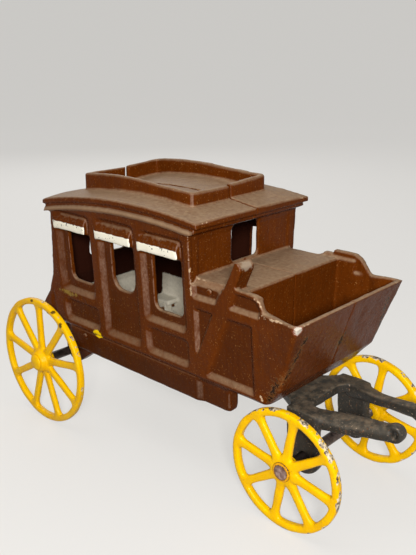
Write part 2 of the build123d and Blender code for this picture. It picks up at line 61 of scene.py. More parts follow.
# The boot: its rear skin going down, its lining coming up again, and where it joins the side
boot_skin = [(-0.1423, 0.0740), (-0.1469, 0.0635), (-0.154, 0.055), (-0.15286, 0.0492), (-0.1525, 0.0474)]
boot_lining = [(-0.1463, 0.0474), (-0.1463, 0.058), (-0.1412, 0.0690), (-0.1404, 0.0730)]
boot_side = [(-0.1415, 0.0474), (-0.1415, 0.0740)]
belly_step = (-0.0475, -0.0445, 0.0013)  # the belly steps in between these stations, by this much
belly_side = 0.027       # only what lies further out than this steps in
crown = (-0.097, 0.1166, 0.0558, -1.7163)  # top of the roof's edge: station, height, slope, bend
bead = (-0.0061, -0.0042)                  # the bead under it, down from that line
bead_root = 0.0350       # the bead stands out from here
bead_front = -0.044      # and ends at the cabin's front
bead_tilt = (0.00025, 0.00085)  # its foot moves out by the first, its top in by the second less that
tray_floor = 0.118
tray_softness = 0.35
seam_band = 0.0012       # the edges along the seam stay sharp this far in
# The cabin's room: its rear wall as heights and stations, its front, and how low and high it reaches
room_rear = ([0.058, 0.070, 0.084, 0.112], [-0.1463, -0.1407, -0.1389, -0.1363])
room_front = -0.0492
room_low = 0.0375
room_high = 0.1085
bare_lit_patch_top = 0.062         # below this height the inside is painted pale: bare iron in a painted pool of light
bare_lit_patch_front = -0.131       # in front of this station,
bare_lit_patch_rear = -0.1415    # and behind this one, on the rear wall
# The rolled curtains: stations, the band of cream paint, its stand, and the roll above it
curtains = [(-0.1364, -0.1126), (-0.1056, -0.0816), (-0.0773, -0.0531)]
cream_low = 0.0969
cream_high = 0.1014
cream_proud = 0.00025
roll_low = 0.1013
roll_high = 0.1103
near_reach = 9           # the listed lines are felt up to this many millimetres away
# Pale lines, partly paint worn through by handling and partly painted highlight on corners: stations, y and z
# in millimetres, on the right side
worn_and_highlit_lines = [
    [(-41.4, -30, 114.4), (-41.4, -36.2, 114.4), (-41.4, -36.2, 112.0), (-43.3, -35.8, 109.8),
     (-47, -34.9, 108), (-47, -34.4, 100), (-47, -33.9, 91), (-47, -33.4, 84)],
    [(-55.4, -23.3, 115.5), (-55.4, -23.3, 122.5), (-60, -23.3, 122.8)],
    [(-47, -32.6, 88.8), (-47, -30.4, 91), (-42, -30.4, 91)],
    [(-14.3, -34.0, 91.0), (-12.0, -33.9, 89.6), (-10.9, -33.9, 87.4), (-9.9, -34.2, 85.4),
     (-8.3, -34.6, 84.6), (-4.1, -35.2, 85.6), (3.6, -36.7, 85.9)],
    [(7.3, -37.2, 85.9), (7.3, -30, 85.9)],
    [(-12.6, -33.6, 83.5), (-10.6, -33.9, 85.4)],
    [(-12.2, -31.9, 51.5), (-11.0, -31.4, 47.6)],
    [(-30.0, -30.9, 45.5), (-30.0, -30.6, 37.2), (-27.0, -25, 36.6)],
]
# Where the casting is rounder than elsewhere, and the ragged edge of the foot board
soft_lines = [
    [(-142.5, -36, 110), (-142.5, 0, 110)],
    [(7.3, -37.2, 85.9), (-8.4, -31.4, 47.4), (-8.4, 0, 47.4)],
    [(-30.0, -31, 47.0), (-30.0, -31, 36.6), (-30, 0, 36.6)],
]
chip_lines = [
    [(5.2, -28.8, 79.6), (1.5, -31.0, 68.7), (-1.5, -32.6, 62.5), (-4.4, -33.0, 59.5),
     (-6.7, -32.2, 54.3), (-9.0, -30.6, 49.5)],
    [(2.3, -0.6, 70.9), (0.8, -0.5, 66.5)],
]


def linear(red, green, blue):
    """A screen colour of 0 to 255 as the linear colour that shaders take."""
    shade = np.array([red, green, blue]) / 255
    low = shade / 12.92
    high = ((shade + 0.055) / 1.055) ** 2.4
    return (*np.where(shade < 0.04045, low, high), 1)


def mesh_of(name, points, faces):
    """A mesh from an array of points and rows of faces."""
    mesh = bpy.data.meshes.new(name)
    mesh.from_pydata(points.tolist(), [], [list(map(int, face)) for face in faces])
    return mesh


def object_of(name, data):
    """A new object at the origin for this mesh, lamp or camera."""
    made = bpy.data.objects.new(name, data)
    bpy.context.scene.collection.objects.link(made)
    return made


def read_rows(items, name, width=3, kind=np.float32):
    """A named value of every vertex, normal or edge of a mesh, as the rows of an array."""
    rows = np.empty(len(items) * width, kind)
    items.foreach_get(name, rows)
    return rows.reshape(-1, width)


def keep_value(mesh, name, values):
    """Keeps a number for each point of a mesh as a named attribute."""
    layer = mesh.attributes.new(name, "FLOAT", "POINT")
    layer.data.foreach_set("value", values.astype(np.float32))


def settled(made):
    """The object's mesh with its modifiers worked in."""
    depsgraph = bpy.context.evaluated_depsgraph_get()
    mesh = bpy.data.meshes.new_from_object(made.evaluated_get(depsgraph))
    made.modifiers.clear()
    made.data = mesh
    return mesh


def smoothed(points, edges, passes):
    """Each pass moves every point halfway to the mean of the points joined to it."""
    first, second = edges.T
    count = np.bincount(edges.ravel(), minlength=len(points))[:, None]
    for step in range(passes):
        total = [np.bincount(first, points[second, k], len(points))
                 + np.bincount(second, points[first, k], len(points)) for k in range(3)]
        points = points + 0.5 * (np.stack(total, axis=1) / count - points)
    return points


def waves(points, length, seed):
    """Sum of sixteen sine waves of about this length, each in its own direction and phase."""
    drawn = np.random.default_rng(seed)
    heading = drawn.normal(size=(16, 3))
    heading = heading / np.linalg.norm(heading, axis=1)[:, None]
    pitch = tau / length * drawn.uniform(0.7, 1.4, 16)
    phase = drawn.uniform(0, tau, 16)
    return np.sin(points @ (heading * pitch[:, None]).T + phase).sum(axis=1) / 4


def half_width(z):
    """Half the width of the body over its ribs at the height z, a straight lean outwards."""
    return side_half + side_slope * (z - side_at)


def lining_side(z):
    """The inner face of the side wall."""
    return half_width(z) - wall


def frame_side(z):
    """The side of the frame, bevelled along its lower edge."""
    return half_width(z) - np.clip(frame_bevel - (z - frame_low), 0, frame_bevel)


def seam_side(z):
    """The plane of the seam."""
    return 0 * z


def solid_across(outline, near, far, side):
    """A closed solid whose side view is an outline of x and z. It reaches across the coach
    from near(z) to far(z) on one side, -1 for the right and 1 for the left."""
    x, z = np.array(outline).T
    ring = np.arange(len(x))
    beside = np.roll(ring, -1)
    ends = [np.stack([x - centre_x, side * reach(z), z], axis=1) for reach in (near, far)]
    around = np.stack([ring, beside, beside + len(x), ring + len(x)], axis=1)
    return np.concatenate(ends), [ring[::-1], ring + len(x), *around]


def cast_skin(made, voxel, passes, wave, triangles, seed, added=(), bend=None, soft=None, seam=0.0):
    """Turns sharp solids into one casting: joins them in a skin of small squares, rounds its
    edges by smoothing, and moves it in and out by long low waves. Closer to the middle than
    seam it stays nearly sharp, so that two halves meet. bend(x, y, z) gives moved points, and
    soft(x, y, z) the share of a much rounder form. It keeps how far each point stands out
    from its surroundings as the attribute edge, and how far in as hollow."""
    work = bmesh.new()
    work.from_mesh(made.data)
    bmesh.ops.remove_doubles(work, verts=work.verts, dist=1e-6)
    for points, faces in added:
        work.from_mesh(mesh_of("extra", points, faces))
    work.to_mesh(made.data)
    work.free()
    remesh = made.modifiers.new("skin", "REMESH")
    remesh.mode = "VOXEL"
    remesh.voxel_size = voxel * 1
    mesh = settled(made)
    points = read_rows(mesh.vertices, "co").astype(float)
    if bend:
        points = np.stack(bend(*points.T), axis=1)
    edges = read_rows(mesh.edges, "vertices", 2, np.int32)
    normals = read_rows(mesh.vertex_normals, "vector")
    rounded = smoothed(points, edges, passes)
    broad = smoothed(rounded, edges, broad_passes)
    stand = ((rounded - broad) * normals).sum(axis=1) / voxel
    if soft:
        share = soft(*points.T)[:, None]
        rounded = rounded + (smoothed(broad, edges, soft_passes) - rounded) * share
    if seam:
        share = np.clip(np.abs(points[:, 1]) / seam - 0.3, 0, 1)[:, None]
        rounded = points + (rounded - points) * share
    rounded = rounded + normals * (wave * waves(points, wave_length, seed))[:, None]
    mesh.vertices.foreach_set("co", rounded.astype(np.float32).ravel())
    keep_value(mesh, "edge", np.clip(stand, 0, 2))
    keep_value(mesh, "hollow", np.clip(-stand, 0, 2))
    mesh.update()
    if len(mesh.polygons) * 2 > triangles:
        thin = made.modifiers.new("thin", "DECIMATE")
        thin.ratio = triangles / (len(mesh.polygons) * 2)
        mesh = settled(made)
    mesh.shade_smooth()
    return made


def add_values(made, name, formula):
    """Keeps formula(x, y, z) of each point of an object as a named attribute."""
    keep_value(made.data, name, formula(*read_rows(made.data.vertices, "co").T))


def copy_of(node, name):
    """A new object with a copy of a CAD node's mesh."""
    made = object_of(name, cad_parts[node].data.copy())
    made.data.materials.clear()
    return made


def add(tree, kind, inputs=(), **settings):
    """Adds a shader node. Its inputs are numbers, colours or the outputs of other nodes."""
    made = tree.nodes.new(kind)
    for name, value in settings.items():
        setattr(made, name, value)
    for socket, value in dict(inputs).items():
        if isinstance(value, bpy.types.NodeSocket):
            tree.links.new(value, made.inputs[socket])
        else:
            made.inputs[socket].default_value = value
    return made


def paint(name):
    """A new material: its tree, its shader, and its coordinates in millimetres."""
    made = bpy.data.materials.new(name)
    made.use_nodes = True
    tree = made.node_tree
    place = add(tree, "ShaderNodeTexCoord").outputs["Object"]
    mm = add(tree, "ShaderNodeMapping", {"Vector": place, "Scale": (1000, 1000, 1000)}).outputs[0]
    return made, tree, tree.nodes["Principled BSDF"], mm


def noise(tree, mm, size, detail=3, roughness=0.55, shift=0, stretch=(1, 1, 1)):
    """Cloudy noise, from 0 to 1, with blotches of about this size in millimetres."""
    moved = add(tree, "ShaderNodeMapping",
                {"Vector": mm, "Location": (shift, shift, shift), "Scale": stretch}).outputs[0]
    return add(tree, "ShaderNodeTexNoise",
               {"Vector": moved, "Scale": 1 / size, "Detail": detail, "Roughness": roughness}).outputs[0]


def ramp(tree, value, low, high, to_low=0.0, to_high=1.0):
    """A value carried from the range low to high over to another range, held at its ends."""
    return add(tree, "ShaderNodeMapRange",
               {0: value, 1: low, 2: high, 3: to_low, 4: to_high}).outputs[0]


def maths(tree, what, a, b):
    """Two values put together by a maths node."""
    return add(tree, "ShaderNodeMath", {0: a, 1: b}, operation=what).outputs[0]


def ragged(tree, value, cloud, less, more, low=0.3, high=0.7):
    """A value made uneven: less is added to it where a noise is low, more where it is high."""
    return maths(tree, "ADD", value, ramp(tree, cloud, low, high, less, more))


def mixed(tree, share, a, b):
    """Colour a turned into colour b by a share."""
    return add(tree, "ShaderNodeMix", {"Factor": share, 6: a, 7: b}, data_type="RGBA").outputs[2]


def attribute(tree, name):
    """A value kept on the mesh."""
    return add(tree, "ShaderNodeAttribute", attribute_name=name).outputs["Fac"]


def facing(tree):
    """How far the surface faces forward, to the left and up, each from -1 to 1."""
    normal = add(tree, "ShaderNodeNewGeometry").outputs["Normal"]
    return add(tree, "ShaderNodeSeparateXYZ", {0: normal}).outputs


def patch(tree, mm, centre, reach):
    """How far a point lies from the centre of a patch, where 1 is the patch's edge."""
    scale = [1 / size for size in reach]
    place = [-middle * share for middle, share in zip(centre, scale)]
    moved = add(tree, "ShaderNodeMapping", {"Vector": mm, "Location": place, "Scale": scale}).outputs[0]
    return add(tree, "ShaderNodeVectorMath", {0: moved}, operation="LENGTH").outputs["Value"]


def bumps(tree, shader, layers):
    """Bump on a shader from pairs of a height and how far it stands in metres."""
    normal = None
    for height, far in layers:
        inputs = {"Height": height, "Distance": far, "Strength": 1.0}
        if normal is not None:
            inputs["Normal"] = normal
        normal = add(tree, "ShaderNodeBump", inputs).outputs[0]
    tree.links.new(normal, shader.inputs["Normal"])


brown, tree, shader, mm = paint("brown_paint_on_iron")
clouds = noise(tree, mm, 14)
mottle = noise(tree, mm, 1.6, 4)
grain = noise(tree, mm, 0.45, 2)
streaks = noise(tree, mm, 1.1, 3, shift=15, stretch=(1, 1, 0.12))
forward, leftward, upward = facing(tree)
# Paint, a little streaked, with painted shade darkening the sunk fields
colour = mixed(tree, clouds, linear(72, 31, 4), linear(98, 44, 5))
colour = mixed(tree, ramp(tree, streaks, 0.35, 0.75, 0, 0.35), colour, linear(108, 54, 12))
colour = mixed(tree, ramp(tree, mottle, 0.52, 0.75, 0, 0.35), colour, linear(52, 20, 4))
# Painted shade: the floors of the sunk panels are darkened.
colour = mixed(tree, ramp(tree, attribute(tree, "recess_shade"), 0.3, 1.0, 0, 0.35), colour, linear(52, 22, 4))
flecks = ramp(tree, noise(tree, mm, 0.6, 2, shift=33), 0.66, 0.71, 0, 0.55)
colour = mixed(tree, flecks, colour, linear(176, 124, 70))
# Painted reflection, grey on the narrow slopes that face forward, and dust on what faces up
slope = maths(tree, "MULTIPLY", ramp(tree, forward, 0.20, 0.38), ramp(tree, forward, 0.74, 0.86, 1, 0))
slope = maths(tree, "MULTIPLY", slope, ramp(tree, upward, -0.12, -0.04))
place = add(tree, "ShaderNodeSeparateXYZ", {0: mm}).outputs
outward = maths(tree, "MULTIPLY", maths(tree, "SIGN", place[1], 0), leftward)
slope = maths(tree, "MULTIPLY", slope, ramp(tree, outward, 0.3, 0.5))
slope = maths(tree, "MULTIPLY", slope, ramp(tree, attribute(tree, "edge"), 0.3, 0.8, 1, 0.4))
reflection_streaks = noise(tree, mm, 0.7, 3, 0.65, shift=72, stretch=(1, 1, 0.5))
painted_reflection = maths(tree, "MULTIPLY", slope, ramp(tree, reflection_streaks, 0.35, 0.65, 0.25, 0.85))
colour = mixed(tree, painted_reflection, colour, linear(130, 100, 82))
dust = maths(tree, "ADD", ramp(tree, upward, 0.1, 0.5, 0, 0.45), ramp(tree, upward, 0.8, 0.97, 0, 0.25))
dust = maths(tree, "MULTIPLY", dust, ramp(tree, mottle, 0.25, 0.65, 0.5, 1.1))
dust = maths(tree, "MULTIPLY", dust, ramp(tree, attribute(tree, "edge"), 0.1, 0.7, 1, 0.35))
# A pale stripe along the bead, dust and painted highlight; less dust on the curtain rolls.
dust = maths(tree, "ADD", dust, maths(tree, "MULTIPLY", attribute(tree, "stripe"), 0.35))
dust = maths(tree, "MAXIMUM", dust, 0)
colour = mixed(tree, dust, colour, linear(168, 142, 112))
# Painted shade: the belly below the frame is darkened towards the bottom.
colour = mixed(tree, ramp(tree, place[2], 44, 49, 0.35, 0), colour, linear(30, 12, 3))
# Lighter corners, partly worn paint and partly painted highlight; pale handled lines, also worn paint and
# painted highlight; and a ragged chipped line on the foot board
edge = attribute(tree, "edge")
# Lighter corners: worn paint and a painted highlight.
lighter_edges = ramp(tree, maths(tree, "MULTIPLY", edge, ramp(tree, mottle, 0.3, 0.7, 0.2, 1.5)), 0.4, 1.1, 0, 0.4)
colour = mixed(tree, lighter_edges, colour, linear(156, 112, 76))
# Pale lines along handled corners: worn paint and painted highlight.
handled_and_highlit = ragged(tree, attribute(tree, "worn"), noise(tree, mm, 1.6, 4, shift=52), -0.9, 0.5)
colour = mixed(tree, ramp(tree, handled_and_highlit, 8.5, 8.85, 0, 0.75), colour, linear(204, 176, 142))
chips = ragged(tree, attribute(tree, "chips"), noise(tree, mm, 1.3, 4, shift=61), -1.7, 1.5)
colour = mixed(tree, ramp(tree, chips, 7.3, 7.9, 0, 0.5), colour, linear(128, 90, 52))
colour = mixed(tree, ramp(tree, chips, 8.15, 8.45, 0, 0.9), colour, linear(20, 9, 5))
# Wheel paint smeared on the frame by the rear wheel
scuff = ragged(tree, patch(tree, mm, (-64, -32.8, 65.6), (9, 20, 1.5)), mottle, -0.5, 0.7)
colour = mixed(tree, ramp(tree, scuff, 0.5, 0.95, 0.65, 0), colour, linear(156, 132, 62))
spot = ragged(tree, patch(tree, mm, (-44.2, -31.5, 49.2), (3.5, 20, 2.3)), mottle, -0.12, 0.15)
dot = patch(tree, mm, (-46.2, -31.5, 48.4), (0.75, 20, 0.65))
colour = mixed(tree, ramp(tree, spot, 0.88, 0.98, 1, 0), colour, linear(250, 210, 10))
colour = mixed(tree, ramp(tree, dot, 0.8, 1.1, 1, 0), colour, linear(34, 16, 8))
# A bare spot with a pink rim at the near corner of the foot board
bare = ragged(tree, patch(tree, mm, (74, -35.6, 84.6), (1.9, 1.9, 1.9)), grain, -0.3, 0.3)
colour = mixed(tree, ramp(tree, bare, 1.0, 1.3, 0.8, 0), colour, linear(150, 88, 66))
colour = mixed(tree, ramp(tree, bare, 0.7, 0.95, 1, 0), colour, linear(206, 196, 180))
# The rubbed head of the post
post_head = ragged(tree, patch(tree, mm, (46, -30.5, 101.2), (2.8, 3.4, 2.2)), mottle, -0.4, 0.4)
colour = mixed(tree, ramp(tree, post_head, 0.6, 1.0, 0.7, 0), colour, linear(158, 142, 122))
# Cream paint on the rolled curtains, with a few black flaws
cream = ramp(tree, ragged(tree, attribute(tree, "curtain"), mottle, -0.3, 0.3, 0.2, 0.8), 1.0, 1.12)
flaws = ramp(tree, noise(tree, mm, 1.2, 2, shift=90), 0.66, 0.68)
cream_colour = mixed(tree, clouds, linear(244, 236, 210), linear(255, 251, 236))
cream_colour = mixed(tree, flaws, cream_colour, linear(26, 22, 20))
colour = mixed(tree, cream, colour, cream_colour)
# Inside: thin dark paint made darker still as painted shade, and low down pale bare iron, a painted pool of
# light
within = ramp(tree, ragged(tree, attribute(tree, "inside"), mottle, -0.2, 0.2, 0.2, 0.8), 1, 1.3)
# Painted pool of light: pale bare iron low down, within the patch's stations.
lit_iron_colour = mixed(tree, mottle, linear(190, 182, 162), linear(226, 218, 200))
lit_iron_colour = mixed(tree, flecks, lit_iron_colour, linear(70, 56, 44))
in_lit_patch = ramp(tree, ragged(tree, attribute(tree, "bare"), mottle, -0.3, 0.3, 0.2, 0.8), 0.2, 0.8)
inside_shade_and_patch = mixed(tree, in_lit_patch, linear(44, 18, 9), lit_iron_colour)
colour = mixed(tree, within, colour, inside_shade_and_patch)
tree.links.new(colour, shader.inputs["Base Color"])
gloss = maths(tree, "ADD", ramp(tree, mottle, 0.2, 0.8, 0.18, 0.32), maths(tree, "MULTIPLY", dust, 0.35))
gloss = maths(tree, "MAXIMUM", gloss, maths(tree, "MULTIPLY", within, 0.8))
tree.links.new(gloss, shader.inputs["Roughness"])
shader.inputs["Specular IOR Level"].default_value = 0.035
bumps(tree, shader, [(clouds, 0.0003), (mottle, 0.00022), (grain, 0.00011)])


def curtain_paint(x, y, z):
    """One more than how far, in millimetres, a point lies inside the painted face of the
    nearest curtain, and nothing far from them."""
    station = x + centre_x
    proud = np.abs(y) - half_width(z) - cream_proud
    level = np.minimum(z - cream_low, cream_high - z)
    spans = [np.minimum(station - begin, end - station) for begin, end in curtains]
    return np.clip(np.min([proud, level, np.max(spans, axis=0)], axis=0) * 1000 + 1, 0, None)


def recess_shade_share(x, y, z):
    """How deep a point of the side lies behind the ribs, where 1 is the floor of a panel. The painted shade
    of the sunk panels follows it.
    """
    on_side = np.abs(y) > half_width(z) - panel_depth * 1.3
    return np.where(on_side, np.clip((half_width(z) - np.abs(y)) / panel_depth, 0, 1), 0)


def depth_inside(x, y, z):
    """One more than how far, in millimetres, a point lies within the room of the cabin.
    Nothing outside."""
    station = x + centre_x
    rear = station - np.interp(z, *room_rear)
    front = room_front - station
    side = lining_side(z) - np.abs(y)
    height = np.minimum(z - np.where(station > bare_lit_patch_front, room_low, frame_low), room_high - z)
    return np.clip((np.min([rear, front, side, height], axis=0) + 0.0005) * 1000 + 1, 0, None)


def bare_lit_patch_share(x, y, z):
    """How much of the inside is painted pale, bare iron in a painted pool of light: below
    bare_lit_patch_top, on the side walls in front of a line and on the rear wall behind another."""
    station = x + centre_x
    ahead_of_line = np.maximum(station - bare_lit_patch_front, bare_lit_patch_rear - station)
    return np.clip(np.minimum(bare_lit_patch_top - z, ahead_of_line) / 0.001, 0, 1)


def near_to(lines):
    """Makes a formula for how near a point lies to the nearest of some lines: near_reach less
    the distance in millimetres, to 0. The left side is measured as the right one's mirror."""
    starts = np.concatenate([line[:-1] for line in lines])
    ends = np.concatenate([line[1:] for line in lines])

    def near(x, y, z):
        points = np.stack([x + centre_x, -np.abs(y), z], axis=1) * 1000
        nearest = np.full(len(points), float(near_reach))
        for start, run in zip(starts, ends - starts):
            share = np.clip((points - start) @ run / (run @ run), 0, 1)
            nearest = np.minimum(nearest, np.linalg.norm(points - start - share[:, None] * run, axis=1))
        return near_reach - nearest

    return near


def up_bead(x, y, z):
    """How high a point lies on the bead under the roof's edge, from 0 at its foot to 1 at its
    top, and -1 off it. The line of the edge is a parabola."""
    station, top, lean, curve = crown
    along = x + centre_x - station
    up = (z - top - lean * along - curve * along ** 2 - bead[0]) / (bead[1] - bead[0])
    on_bead = (np.abs(y) > bead_root) & (np.abs(up - 0.5) < 0.7) & (x + centre_x < bead_front)
    return np.where(on_bead, np.clip(up, 0, 1), -1)


def stripe_share(x, y, z):
    """A pale stripe on the bead, dust and painted highlight, and less dust on the roll of each curtain."""
    on_bead = np.clip(up_bead(x, y, z) + 1, 0, 1)
    on_roll = (z > roll_low) & (z < roll_high) & (np.abs(y) > half_width(z) - panel_depth / 2)
    return np.where(on_roll & (on_bead == 0), -0.8, on_bead)


def shape_body(x, y, z):
    """The belly's side in front of the step moves in, eased over the step. The bead under
    the roof's edge is tilted so that its face looks up."""
    begin, end, depth = belly_step
    share = np.clip((x + centre_x - begin) / (end - begin), 0, 1) * np.clip((frame_low - z) / 0.0004, 0, 1)
    share = share * np.clip((np.abs(y) - belly_side) / 0.002, 0, 1)
    up = up_bead(x, y, z)
    tilt = np.where((up >= 0) & (np.abs(y) > bead_root + 0.0003), bead_tilt[0] - bead_tilt[1] * up, 0)
    return x, y + np.sign(y) * (tilt - share * depth), z


near_soft = near_to(soft_lines)


def soft_share(x, y, z):
    """How much rounder than elsewhere: within 1 to 3 millimetres of the soft lines, and a
    little in the roof's tray."""
    by_lines = np.clip((near_soft(x, y, z) - near_reach + 3) / 2, 0, 1)
    return np.maximum(by_lines, np.where(z > tray_floor, tray_softness, 0))


body_values = {
    "curtain": curtain_paint,
    "recess_shade": recess_shade_share,
    "inside": depth_inside,
    "bare": bare_lit_patch_share,
    "stripe": stripe_share,
    "worn": near_to(worn_and_highlit_lines),
    "chips": near_to(chip_lines),
}
for name, side, seed in (("right", -1, 11), ("left", 1, 12)):
    casting = copy_of(f"body_{name}", f"body_{name}_casting")
    boot_wall = solid_across(boot_skin + boot_lining, seam_side, frame_side, side)
    boot_cheek = solid_across(boot_skin + boot_side, lining_side, frame_side, side)
    cast_skin(casting, body_voxel, body_passes, body_wave, body_triangles, seed,
              added=(boot_wall, boot_cheek), bend=shape_body, soft=soft_share, seam=seam_band)
    for value, formula in body_values.items():
        add_values(casting, value, formula)
    casting.data.materials.append(brown)
    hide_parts(f"body_{name}")
    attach(casting, "coach")

# Rivets and king pin. Soft steel rivets pull the two halves together, painted
# over with the body, and a headed steel pin, browned and dull, holds the
# forecarriage.
steel, tree, shader, mm = paint("browned_steel")
patches = noise(tree, mm, 2.2, 4)
fine = noise(tree, mm, 0.4, 2, shift=20)
colour = mixed(tree, ramp(tree, patches, 0.3, 0.7), linear(92, 74, 68), linear(128, 112, 104))
colour = mixed(tree, ramp(tree, fine, 0.6, 0.75, 0, 0.7), colour, linear(58, 36, 26))
tree.links.new(colour, shader.inputs["Base Color"])
shader.inputs["Metallic"].default_value = 0.75
tree.links.new(ramp(tree, patches, 0.2, 0.8, 0.34, 0.56), shader.inputs["Roughness"])
bumps(tree, shader, [(patches, 0.00025), (fine, 0.00006)])
for name, finish in (("body_rivet_front", brown), ("body_rivet_rear", brown), ("king_pin", steel)):
    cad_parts[name].data.materials.clear()
    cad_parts[name].data.materials.append(finish)

# Forecarriage. One rougher casting carries the front axle in two forks, turns on
# the king pin and reaches forward in two round draw arms. It is painted black,
# and brown dust and rust show through where the paint is thin.
carriage_voxel = 0.00036
carriage_passes = 9
carriage_wave = 0.00009
carriage_triangles = 120000
# Draw arms, in millimetres: station, y inside and out, low and top z inside, and the same outside
arm_sections = np.array([
    (-3.0, 12.6, 20.2, 37.6, 44.4, 37.6, 44.4),
    (2.0, 12.4, 20.2, 37.6, 44.5, 37.6, 44.4),
    (9.0, 9.9, 18.4, 39.6, 45.3, 37.9, 43.4),
    (18.0, 8.6, 16.4, 41.0, 46.1, 39.5, 43.9),
    (27.0, 8.0, 14.8, 41.2, 47.2, 39.9, 45.7),
    (33.0, 7.7, 13.4, 41.8, 47.4, 41.0, 46.3),
])
arm_squareness = 0.8     # exponent of the cosine in a section, where 1 is an ellipse
arm_rings = 60
arm_around = 40
arm_ease = 9             # sizes are the mean of this many rings
arm_softness = (0.2, 0.9, 0.004)  # how much rounder, from the forks to the arms, over this length


def faces_of(points, wrap_rows, wrap_columns):
    """Faces of a grid of points: each joins a point to the next in its row and column."""
    rows, columns = points.shape[:2]
    index = np.arange(rows * columns).reshape(rows, columns)
    if wrap_rows:
        index = np.vstack([index, index[:1]])
    if wrap_columns:
        index = np.hstack([index, index[:, :1]])
    corners = (index[:-1, :-1], index[:-1, 1:], index[1:, 1:], index[1:, :-1])
    return np.stack(corners, axis=-1).reshape(-1, 4)


def softened(values, power):
    """Cosines or sines made squarer: the power of their size, with their sign kept."""
    return np.sign(values) * np.abs(values) ** power


def draw_arm(side):
    """A bent tapered arm: rounded sections whose sizes run smoothly through the table. The
    first and last sections shrink to a point, which closes its ends."""
    stations = np.linspace(arm_sections[0, 0], arm_sections[-1, 0], arm_rings)
    sizes = [np.interp(stations, arm_sections[:, 0], values) for values in arm_sections[:, 1:].T]
    padded = [np.pad(values, arm_ease // 2, mode="edge") for values in sizes]
    eased = [np.convolve(values, np.ones(arm_ease) / arm_ease, "valid") for values in padded]
    inner, outer, inner_low, inner_top, outer_low, outer_top = [values[:, None] for values in eased]
    turn = np.linspace(0, tau, arm_around, endpoint=False)
    closing = np.ones((arm_rings, 1))
    closing[[0, -1]] = 0
    out = softened(np.cos(turn), arm_squareness) * closing
    up = softened(np.sin(turn), arm_squareness) * closing
    toward = (out + 1) / 2
    middle = (inner_low + inner_top) / 2 * (1 - toward) + (outer_low + outer_top) / 2 * toward
    height = (inner_top - inner_low) / 2 * (1 - toward) + (outer_top - outer_low) / 2 * toward
    x = stations[:, None] + out * 0 - centre_x * 1000
    y = (inner + outer) / 2 + (outer - inner) / 2 * out
    points = np.stack([x, side * y, middle + height * up], axis=-1)
    return points.reshape(-1, 3) / 1000, faces_of(points, False, True)


def soft_forward(x, y, z):
    """How much rounder than elsewhere: a little behind the front axle, and more ahead of it."""
    behind, before, length = arm_softness
    return np.clip((x + centre_x) / length, behind, before)


black, tree, shader, mm = paint("black_paint_on_iron")
clouds = noise(tree, mm, 7, 3)
mottle = noise(tree, mm, 1.3, 4)
grain = noise(tree, mm, 0.4, 2)
upward = facing(tree)[2]
colour = mixed(tree, clouds, linear(24, 23, 22), linear(52, 48, 42))
colour = mixed(tree, ramp(tree, mottle, 0.35, 0.65, 0, 0.4), colour, linear(64, 59, 50))
settled_dust = noise(tree, mm, 2.8, 5, 0.6, shift=38)
dust = maths(tree, "MULTIPLY", ramp(tree, upward, 0.2, 0.9, 0.0, 0.6), ramp(tree, settled_dust, 0.42, 0.70))
# Painted light: faces that turn up are made a paler grey.
colour = mixed(tree, ramp(tree, upward, 0.1, 0.8, 0, 0.5), colour, linear(76, 72, 64))
colour = mixed(tree, dust, colour, linear(136, 118, 96))
rust = ramp(tree, noise(tree, mm, 1.0, 4, shift=60), 0.60, 0.68, 0, 0.5)
colour = mixed(tree, rust, colour, linear(112, 74, 44))
specks = ramp(tree, noise(tree, mm, 0.8, 4, 0.6, shift=44), 0.64, 0.69, 0, 0.7)
colour = mixed(tree, specks, colour, linear(176, 152, 128))
lighter_edges = ramp(tree, maths(tree, "MULTIPLY", attribute(tree, "edge"), ramp(tree, mottle, 0.35, 0.7, 0.2, 1.6)),
              0.4, 1.1, 0, 0.6)
colour = mixed(tree, lighter_edges, colour, linear(140, 108, 76))
tree.links.new(colour, shader.inputs["Base Color"])
gloss = maths(tree, "ADD", ramp(tree, mottle, 0.2, 0.8, 0.36, 0.55), maths(tree, "MULTIPLY", dust, 0.3))
tree.links.new(gloss, shader.inputs["Roughness"])
shader.inputs["Specular IOR Level"].default_value = 0.2
bumps(tree, shader, [(clouds, 0.0004), (mottle, 0.00018), (grain, 0.0001)])
carriage = copy_of("forecarriage", "forecarriage_casting")
cast_skin(carriage, carriage_voxel, carriage_passes, carriage_wave, carriage_triangles, 21,
          added=(draw_arm(-1), draw_arm(1)), soft=soft_forward)
carriage.data.materials.append(black)
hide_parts("forecarriage")
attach(carriage, "forecarriage")

# Axles. Two plain steel rods, their ends peened over outside the hubs. The rear
# ends were painted over along with the wheels. The front ends are bare, worn
# brown discs with a ring of paint round them, a thin dark line between disc and
# ring and a painted shadow round the ring where the head meets the hub, and sit
# close to the rims.
yellow_colours = (linear(234, 168, 1), linear(254, 208, 2))
shaft_radius = 0.0022
# Each axle: station, height above the ground, and reach from the seam to outside its hubs
front_place = (0.0, 0.025, 0.0340)
rear_place = (-0.1392, 0.0317, 0.0489)
quarter = np.linspace(tau / 4, 0, 9)
# Outlines of a head, from its back to its middle: how far it stands out, and the radius. One is
# a disc with a rolled edge and a sunk middle, the other a dome.
disc_head = [(0, 0.0036)] + [(0.0005 * cos(turn), 0.0036 + 0.0004 * sin(turn)) for turn in quarter]
disc_head = disc_head + [(0.0006, 0.0029), (0.00045, 0)]
domed_head = [(0.0011 * cos(turn), 0.0039 * sin(turn)) for turn in quarter]


def turned(profile, x, z, turns):
    """A surface of revolution round an axle line: a profile of distances y across the coach
    and radii, carried round it."""
    y, radius = np.array(profile).T[:, :, None]
    turn = np.linspace(0, tau, turns, endpoint=False)
    return np.stack([x + radius * np.cos(turn), y + 0 * turn, z + radius * np.sin(turn)], axis=-1)


